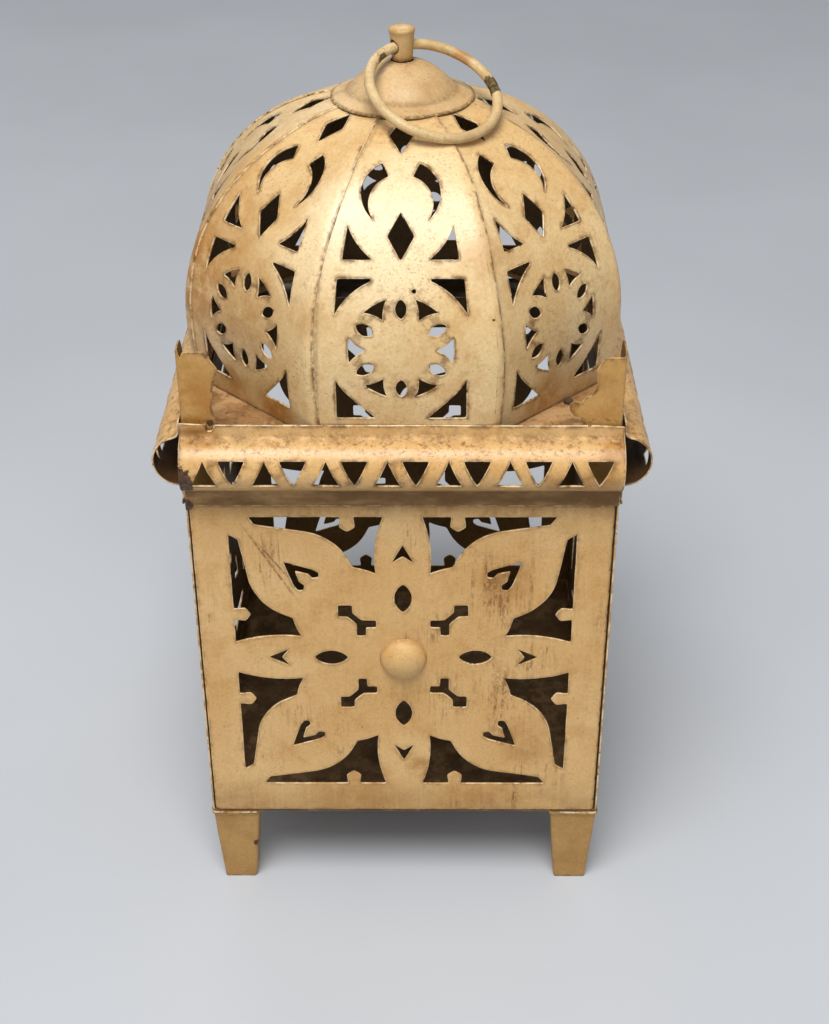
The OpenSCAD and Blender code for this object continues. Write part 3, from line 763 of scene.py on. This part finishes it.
def make_cornice():
    along, line, corner = cornice_profile()
    slope = np.gradient(line, along, axis=0)
    slope /= norm(slope, axis=1)[:, None]
    length = along[-1]
    on_bead = line[:, 0] > HALF + SHEET + 0.15

    def strip(turn, seed):
        def place(points, depth):
            x, w = points[:, 0], points[:, 1]
            out, z = (np.interp(w, along, line[:, k]) for k in range(2))
            z = z + np.minimum(w, 0) + np.maximum(w - length, 0)
            d_out, d_z = (np.interp(w, along, slope[:, k]) for k in range(2))
            dent = wobble(points, 14.0, 0.16, seed)[:, 2]
            lean = wobble(columns(x, x * 0), 22.0, 0.22, seed + 9)[:, 1]
            dent = (dent + lean) * ease(w / 3)
            depth = depth + np.clip(dent, 0, 0.4)
            if turn == 0:
                # The lip's left end is prised off the post
                prised = ease((7.4 - HALF - x) / 2.5) * ease((w - length + 2.6) / 2.4)
                depth = depth - 0.8 * prised
            return spin(columns(x, -(out - depth * d_z), z + depth * d_out), turn)
        return place

    def to_sheet(turn):
        def convert(points):
            local = spin(points, -turn)
            away = np.hypot(-local[:, 1] - BEAD_C, local[:, 2] - BEAD_Z)
            w = np.interp(local[:, 2], line[on_bead, 1], along[on_bead])
            return columns(local[:, 0], w, BEAD_R - away)
        return convert

    def hollow_dirt_and_shade(points):
        """Grime and painted shade in the corner between the bead and the lip, thinning out over the bead."""
        below = corner - points[:, 1]
        thinning = np.where(below > 0, 1 - ease(below / 3.4),
                            0.6 * (1 - ease(-below / 1.4)) + 0.4 * (1 - ease(-below / 3.6)))
        patchy = 0.6 + 0.4 * np.sin(points[:, 0] * 0.9 + 2 * np.sin(points[:, 0] * 0.31))
        return 0.8 * thinning * patchy

    rows = np.array([(x, w) for w in np.arange(0.4, length, 0.55) for x in np.arange(-HALF, HALF, 2.1)])
    for name, turn, seed in (("cornice_front", 0, 2.0), ("cornice_rear", 180, 13.0),
                             ("cornice_left", -90, 24.0), ("cornice_right", 90, 35.0)):
        holes = [loop for loop in outlines(name, to_sheet(turn)) if np.abs(loop[:, 0]).max() < HALF - 0.5]
        whole = np.array([(-HALF, 0), (HALF, 0), (HALF, length), (-HALF, length)])
        outer = torn_outline(length) if turn == 0 else whole
        piece = pierced_sheet(name + "_strip", [outer] + holes, strip(turn, seed), grid=2.2, step=0.6,
                              seed=seed, extra=rows, dirt_and_shade=hollow_dirt_and_shade)
        fit_out(piece, cornice_paint, name)


# ---- Corner posts ----

def make_posts():
    """L-shaped posts whose tops and inner edges are cut by hand, so no two are alike."""
    low = FLANGE_Z + 1.3
    plain = [(8.8, low), (8.6, 139.3), (6.8, 142.8), (7.2, 146.8), (8.5, 149.9), (5.2, POST_TOP_Z)]
    front_left = [(7.9, low), (7.7, 136.8), (6.9, 140.5), (7.5, 146.6), (8.7, 150.2), (6.1, POST_TOP_Z - 0.3)]
    front_right = [(8.4, low), (8.6, 137.9), (9.4, 138.7), (10.7, 138.3), (12.0, 139.4), (12.1, 140.9),
                   (10.6, 142.2), (9.3, 142.0), (8.2, 143.6), (6.9, 144.0), (5.8, 145.9), (6.3, 150.0),
                   (4.7, 153.1)]
    legs = {
        "post_front_left": (0, plain, front_left, 1.5),
        "post_front_right": (90, front_right, plain, 0.0),
        "post_rear_right": (180, plain, plain, 0.0),
        "post_rear_left": (270, plain, plain, 0.0),
    }
    bend_r, tab_angle = 0.7, math.radians(38)
    half_bend = bend_r * math.pi / 4
    for seed, (name, (turn, before, after, nick)) in enumerate(legs.items()):
        def place(points, depth, turn=turn):
            a, z = points.T
            angle = math.radians(45) * (1 + np.clip(a / half_bend, -1, 1))
            lean = wobble(points, 7.0, 0.25, turn + 2.0)[:, 2] * ease((z - LIP_TOP_Z) / 10)
            # The front right post's tab is bent back
            tab = np.clip(np.abs(a) - 9.0, 0, None) * (a < 0) * (turn == 90)
            back = tab * math.sin(tab_angle) + lean * ease(np.abs(a) / 4)
            out = np.clip(np.abs(a) - half_bend, 0, None) - tab * (1 - math.cos(tab_angle))
            reach = bend_r - depth
            centre = bend_r - POST_FACE
            x = centre - reach * np.cos(angle) + np.where(a > 0, out, 0) + np.where(a < 0, back, 0)
            y = centre - reach * np.sin(angle) + np.where(a < 0, out, 0) + np.where(a > 0, back, 0)
            return spin(columns(x, y, z), turn)

        mirrored = [(-x, z) for x, z in before]
        (_, left_top), (_, right_top) = before[-1], after[-1]
        notch = [(nick, right_top), (nick * 0.6, right_top - nick), (nick * 0.3, left_top)]
        loop = np.array(mirrored[:1] + after + notch + mirrored[:0:-1])
        rows = [(a, z) for a in np.linspace(-0.9, 0.9, 7) for z in np.arange(low + 0.5, POST_TOP_Z, 1.3)]
        piece = pierced_sheet(name + "_sheet", [loop], place, grid=1.6, step=0.7, seed=seed * 7.0, wave=0.12,
                              extra=np.array(rows))
        fit_out(piece, post_paint, name)


# ---- Top plate ----

def make_top_plate():
    def place(points, depth):
        corner = ease((np.abs(points).sum(axis=1) - 62) / 22)
        dent = wobble(points, 7.0, 0.45, 6.0)[:, 2] * corner
        return np.column_stack([points, DOME_Z - depth - np.abs(dent)])

    def to_sheet(points):
        return np.column_stack([points[:, :2], DOME_Z - points[:, 2]])

    piece = pierced_sheet("top_plate_sheet", outlines("top_plate", to_sheet), place, step=1.0, seed=8.0)
    fit_out(piece, plate_steel, "top_plate")


# ---- Dome ----

def dome_at(s):
    """Inscribed radius, height and tilt of the dome's outer surface at arc length s from its base."""
    low = s < SKIRT_LEN
    tilt = (s - SKIRT_LEN) / np.where(low, SKIRT_R, CURVE_R)
    radius = np.where(low, WIDE_R - SKIRT_R * (1 - np.cos(tilt)), CURVE_C + CURVE_R * np.cos(tilt))
    return radius, WIDE_Z + np.where(low, SKIRT_R, CURVE_R) * np.sin(tilt), tilt


def fold_at(s):
    """Half the width of a gore at arc length s."""
    return dome_at(s)[0] * FOLD


def on_gore(u, s, depth, turn):
    """Places a point u across a gore, s along it and depth under its outer surface."""
    radius, height, tilt = dome_at(s)
    out = radius - depth * np.cos(tilt)
    return spin(columns(u * out / radius, -out, height - depth * np.sin(tilt)), turn)


def make_dome():
    """Eight sheets bent one way. Each one's right edge is folded over the next and lies on it."""
    round_off, lift, tab = 0.6, 0.3, 2.0

    def tab_width(s, k):
        return tab + 0.4 * np.sin(s * 0.13 + k)

    def to_sheet(turn):
        def convert(points):
            local = spin(points, -turn)
            low = local[:, 2] < WIDE_Z
            centre = np.where(low, WIDE_R - SKIRT_R, CURVE_C)
            bend = np.where(low, SKIRT_R, CURVE_R)
            out, up = -local[:, 1] - centre, local[:, 2] - WIDE_Z
            s = SKIRT_LEN + bend * np.arctan2(up, out)
            return columns(local[:, 0], s, bend - np.hypot(out, up))
        return convert

    def place_on(turn, seed):
        def place(points, depth):
            u, s = points[:, 0], points[:, 1]
            fold = fold_at(s)
            past = u - fold
            dent = wobble(points, 16.0, 0.16, seed)[:, 2] + wobble(points, 5.0, 0.05, seed + 4)[:, 2]
            dent = dent * ease((fold - np.abs(u)) / 4) * ease(s / 4)
            depth = depth + np.clip(dent, -0.2, 0.3)

            def this_side(gap):
                return on_gore(fold - gap, s, depth, turn)

            def next_side(gap):
                raised = depth - lift * ease(gap / 1.2)
                return on_gore(gap - fold, s, raised, turn + 45)

            level = past * 0
            start, crest, end = this_side(level + round_off), this_side(level), next_side(level + round_off)
            share = np.clip((past + round_off) / (2 * round_off), 0, 1)[:, None]
            curve = (1 - share) ** 2 * start + 2 * share * (1 - share) * crest + share ** 2 * end
            flat = np.where((past < 0)[:, None], this_side(-past), next_side(past))
            return np.where((np.abs(past) < round_off)[:, None], curve, flat)
        return place

    names = ["gore_front", "gore_front_right", "gore_right", "gore_rear_right", "gore_rear",
             "gore_rear_left", "gore_left", "gore_front_left"]
    for k, name in enumerate(names):
        turn, seed = 45 * k, 50.0 + 7 * k
        loops = outlines(name, to_sheet(turn), near=0.03)
        edge = longest(loops, 1)
        outer = divided(loops[edge], 1.5)
        right = outer[:, 0] > fold_at(outer[:, 1]) - 0.5
        outer[right, 0] += tab_width(outer[right, 1], k)
        loops[edge] = outer
        along = np.arange(0.6, 78, 1.4)
        rows = [(fold_at(s) + e, s) for s in along for e in (-0.6, -0.3, 0.0, 0.3, 0.6, 1.2)]
        rows += [(tab_width(s, k - 1) - fold_at(s) + e, s) for s in along for e in (-0.2, 0.15, 0.5, 1.0)]

        # Grime and painted shade along the seam by each folded tab, at the base and under the cap
        def dirt_and_shade(points, k=k):
            beyond = points[:, 0] + fold_at(points[:, 1]) - tab_width(points[:, 1], k - 1)
            seam = np.where(beyond < 0.1, 1.0, 1 - ease((beyond - 0.1) / 0.6))
            base = 1 - ease(points[:, 1] / 1.6)
            crown = ease((points[:, 1] - 76.0) / 2.2)
            return np.clip(seam * (beyond > -1.2) * 0.5 + 0.75 * base + 0.7 * crown, 0, 1)

        piece = pierced_sheet(name + "_sheet", loops, place_on(turn, seed), grid=1.9, seed=seed,
                              thick=GORE_SHEET, extra=np.array(rows), dirt_and_shade=dirt_and_shade)
        fit_out(piece, dome_paint, name)


# ---- Crown ----

def make_cap():
    """Spun cap with a flared brim."""
    thick = 0.45
    shape = [(2.5, 8.16), (3.6, 7.94), (4.8, 7.58), (6.0, 7.08), (7.2, 6.45), (8.2, 5.8), (9.2, 5.02),
             (10.1, 4.2), (10.9, 3.35), (11.5, 2.62), (12.0, 2.1), (12.5, 1.78), (13.4, 1.45), (14.4, 1.1),
             (15.4, 0.76), (16.0, 0.52)]
    rim = [(CAP_RIM_R - 0.05, 0.36), (CAP_RIM_R - 0.03, 0.16), (16.1, 0.04)]
    upper, rim = ([(r, CAP_LOW_Z + z) for r, z in part] for part in (shape, rim))
    under = [(r, z - thick) for r, z in upper[::-1]]

    # Grime and painted shade in the fold of the brim, along the brim's edge and round the finial
    def dirt_and_shade(radius, height):
        fold = 1 - ease(np.abs(radius - 12.4) / 1.2)
        edge = ease((radius - 15.5) / 0.6)
        plug = 1 - ease((radius - 2.6) / 1.4)
        return 0.55 * fold + 0.95 * edge + 0.8 * plug

    cap = revolved("dome_cap_sheet", (upper + rim + under)[::-1], 96, uneven=0.13, seed=4.0, dirt_and_shade=dirt_and_shade,
                   closed=True)
    fit_out(cap, cap_paint, "dome_cap")


def make_finial():
    """A flared plug with a round-edged head, a cross hole, and a shank peened under the cap."""
    low_r, neck_r, top_r, shank_r = 2.28, 2.72, 2.94, 1.5
    tail_z, low_z = CAP_TOP_Z - 10.5, CAP_TOP_Z + 0.1
    neck_z, top_z = FINIAL_TOP_Z - 1.9, FINIAL_TOP_Z - 0.12
    body = [(0, tail_z), (2.6, tail_z), (2.7, tail_z + 0.8), (shank_r, tail_z + 0.85),
            (shank_r, CAP_TOP_Z - 0.1), (low_r - 0.1, CAP_TOP_Z - 0.1)]
    body += [(low_r + (neck_r - low_r) * k / 7, low_z + (neck_z - low_z) * k / 7) for k in range(8)]
    head = [(neck_r + 0.05, -1.3), (top_r - 0.06, -1.0), (top_r, -0.75), (top_r, -0.5), (top_r - 0.1, -0.22),
            (top_r - 0.35, -0.05), (top_r - 0.8, 0), (1.5, -0.1), (0.6, -0.2), (0, -0.22)]
    body += [(r, top_z + z) for r, z in head]
    finial = revolved("finial_plug", body, 48, uneven=0.16, seed=12.0,
                      # Grime and painted shade at the foot, where the plug meets the cap
                      dirt_and_shade=lambda radius, height: 0.9 * (1 - ease((height - CAP_TOP_Z) / 1.3)))
    bpy.ops.mesh.primitive_cylinder_add(vertices=40, radius=1.7 * MM, depth=20 * MM)
    drill = bpy.context.object
    drill.matrix_world = (Matrix.Translation((0, 0, RING_HOLE_Z * MM)) @ rotation(RING_TURN, "Z")
                          @ rotation(90, "Y"))
    bore = finial.modifiers.new("hole", "BOOLEAN")
    bore.operation, bore.object, bore.solver = "DIFFERENCE", drill, "EXACT"
    bpy.context.view_layer.update()
    graph = bpy.context.evaluated_depsgraph_get()
    finial.data = bpy.data.meshes.new_from_object(finial.evaluated_get(graph))
    finial.modifiers.clear()
    bpy.data.objects.remove(drill)
    finial.data.set_sharp_from_angle(angle=SHARP)
    fit_out(finial, finial_paint, "finial")


def make_ring():
    """Bent wire whose ends meet in a butt joint on the ring's right side."""
    ring_r, wire_r, around, sides = 14.45, 1.15, 150, 20
    joint, gap = math.radians(-12), math.radians(0.9)
    points = []
    for i in range(around + 1):
        t = joint + gap / 2 + (2 * math.pi - gap) * i / around
        thin = wire_r * {0: 0.93, 1: 0.985}.get(min(i, around - i), 1.0)
        for a in (2 * math.pi * j / sides for j in range(sides)):
            r = ring_r + thin * math.cos(a)
            points.append((r * math.cos(t), r * math.sin(t) - ring_r, thin * math.sin(a)))
    faces = [face[::-1] for face in capped_tube(around + 1, sides)]
    points = points + wobble(points, 9.0, 0.1, 3.0)
    points = turned(points, rotation(RING_TURN, "Z") @ rotation(RING_DROP, "X")) + (0, 0, RING_HOLE_Z)
    ring = make_object("hang_ring_wire", points, faces, {"edge": NO_EDGE}, sharp=math.radians(50))
    fit_out(ring, ring_paint, "hang_ring", "ring")


# ---- Feet ----

def foot_outline(z, inward):
    """A rounded square at height z, moved inward, in millimetres from the body's corner."""
    top_w, end_w, slope, corner_r = 11.7, 8.2, 1.55, 0.75
    share = z / TRAY_Z
    low = slope * (1 - share) + inward
    high = low + end_w + (top_w - end_w) * share - 2 * inward
    r = max(corner_r - inward, 0.12)
    line, full = [], []
    centres = (high - r, high - r), (low + r, high - r), (low + r, low + r), (high - r, low + r)
    for k, (cx, cy) in enumerate(centres):
        angles = [math.radians(90 * k + t) for t in (0, 22.5, 45, 67.5, 90)]
        line += [(cx + r * math.cos(t), cy + r * math.sin(t)) for t in angles]
    line = np.array(line)
    for p, q in zip(line, np.roll(line, -1, axis=0)):
        count = 8 if norm(q - p) > 3 else 1
        full += [(*(p + (q - p) * k / count), z) for k in range(count)]
    return full


def make_feet():
    """Folded tapered feet: rounded edges, a lip round the top and a closed sole."""
    lip, lip_z = 0.42, TRAY_Z - 1.15
    tucks = {0.0: 0.16, 0.18: 0.04, TRAY_Z: 0.12}
    heights = [0.0, 0.18, 0.5, *np.arange(1.6, TRAY_Z - 1.4, 1.25), lip_z, TRAY_Z - 0.9, TRAY_Z - 0.35,
               TRAY_Z - 0.12, TRAY_Z]
    outer = [foot_outline(z, tucks.get(z, 0.0) - lip * ease((z - lip_z) / 0.35)) for z in heights]
    inner = [foot_outline(z, SHEET if z < TRAY_Z else 0.42) for z in (TRAY_Z, TRAY_Z - 0.1, 12.0, SHEET)]
    shell = np.vstack(outer + inner)
    inside = np.repeat([0, 1], [len(outer) * len(outer[0]), len(inner) * len(outer[0])])
    for seed, (name, sx, sy) in enumerate((("foot_front_left", -1, -1), ("foot_front_right", 1, -1),
                                            ("foot_rear_left", -1, 1), ("foot_rear_right", 1, 1))):
        steady = ease(shell[:, 2] / 4) * ease((TRAY_Z - shell[:, 2]) / 4)
        x, y, z = (shell + wobble(shell + seed * 31.0, 6.0, 0.14, seed * 3.0) * steady[:, None]).T
        points = columns(sx * (HALF - x), sy * (HALF - y), z)
        faces = capped_tube(len(outer + inner), len(outer[0]))
        if sx * sy < 0:
            faces = [face[::-1] for face in faces]
        edge = np.minimum(np.minimum(z, np.abs(TRAY_Z - z)), NO_EDGE)
        piece = make_object(name + "_shell", points, faces, {"edge": edge, "inner": inside})
        fit_out(piece, foot_paint, name)


# ---- Small steel parts ----

def make_small_parts():
    """The CAD nodes that stay as they are."""
    parts = {"base_tray": tray_steel, "crown_washer": tray_steel, "hinge_bracket": dark_steel,
             "plate_rivets": dark_steel, "hinge_rod": dark_steel}
    for name, material in parts.items():
        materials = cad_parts[name].data.materials
        materials.clear()
        materials.append(material)


make_panels()
make_door()
make_bosses()
make_cornice()
make_posts()
make_top_plate()
make_dome()
make_cap()
make_finial()
make_ring()
make_feet()
make_small_parts()


# ---- Floor, light and camera ----

def make_stage():
    s = Shader("floor_surface")
    s.colour = s.mix(s.patches(180, 0.3, 0.7, 3, 0.5), srgb(190, 194, 200), srgb(196, 200, 206))
    surface = s.finish(s.plus(0.55, s.times(s.noise(40, 2, 0.5), 0.1)), s.noise(1.5, 2, 0.5), bump=0.02)
    size = 8.0
    floor = bpy.data.meshes.new("floor")
    corners = [(-size, -size, 0), (size, -size, 0), (size, size, 0), (-size, size, 0)]
    floor.from_pydata(corners, [], [range(4)])
    floor.materials.append(surface)
    sheet = add_object("floor", floor)


def make_light(name, place, aim, size, power, tint=(1.0, 1.0, 1.0)):
    data = bpy.data.lights.new(name, "AREA")
    data.shape, data.size, data.energy, data.color = "DISK", size, power, tint
    lamp = add_object(name, data)
    lamp.location = place
    lamp.rotation_euler = (Vector(aim) - Vector(place)).to_track_quat("-Z", "Y").to_euler()


def make_camera():
    """Above and in front of the lantern, looking down at it."""
    pitch, yaw, roll = (math.radians(a) for a in (32.44, -0.41, -0.18))
    forward = Vector((math.sin(yaw) * math.cos(pitch), math.cos(yaw) * math.cos(pitch), -math.sin(pitch)))
    right = Vector((math.cos(yaw), -math.sin(yaw), 0))
    up = right.cross(forward)
    rolled = right * math.cos(roll) + up * math.sin(roll)
    up = up * math.cos(roll) - right * math.sin(roll)
    data = bpy.data.cameras.new("camera")
    data.sensor_fit, data.sensor_width, data.lens = "AUTO", 36.0, 57.795
    data.clip_start, data.clip_end = 0.01, 50
    camera = add_object("camera", data)
    turn = Matrix((rolled, up, -forward)).transposed().to_4x4()
    camera.matrix_world = Matrix.Translation(Vector((4.99, -361.16, 313.17)) * MM) @ turn
    bpy.context.scene.camera = camera


def make_sky():
    world = bpy.data.worlds.new("studio")
    bpy.context.scene.world = world
    world.use_nodes = True
    sky = world.node_tree.nodes["Background"]
    sky.inputs["Color"].default_value = (0.93, 0.96, 1.0, 1.0)
    sky.inputs["Strength"].default_value = 0.3


make_stage()
make_sky()
make_light("key", (-0.12, -0.52, 1.2), (0, 0, 0.1), 0.7, 15.0, (1.0, 0.985, 0.96))
make_light("front", (0.3, -1.1, 1.05), (0, 0, 0.1), 0.8, 2.2)
make_light("rear", (-0.3, 1.2, 0.9), (0, 0, 0.1), 1.2, 1.6)
make_camera()
bpy.context.scene.view_settings.view_transform = "Standard"
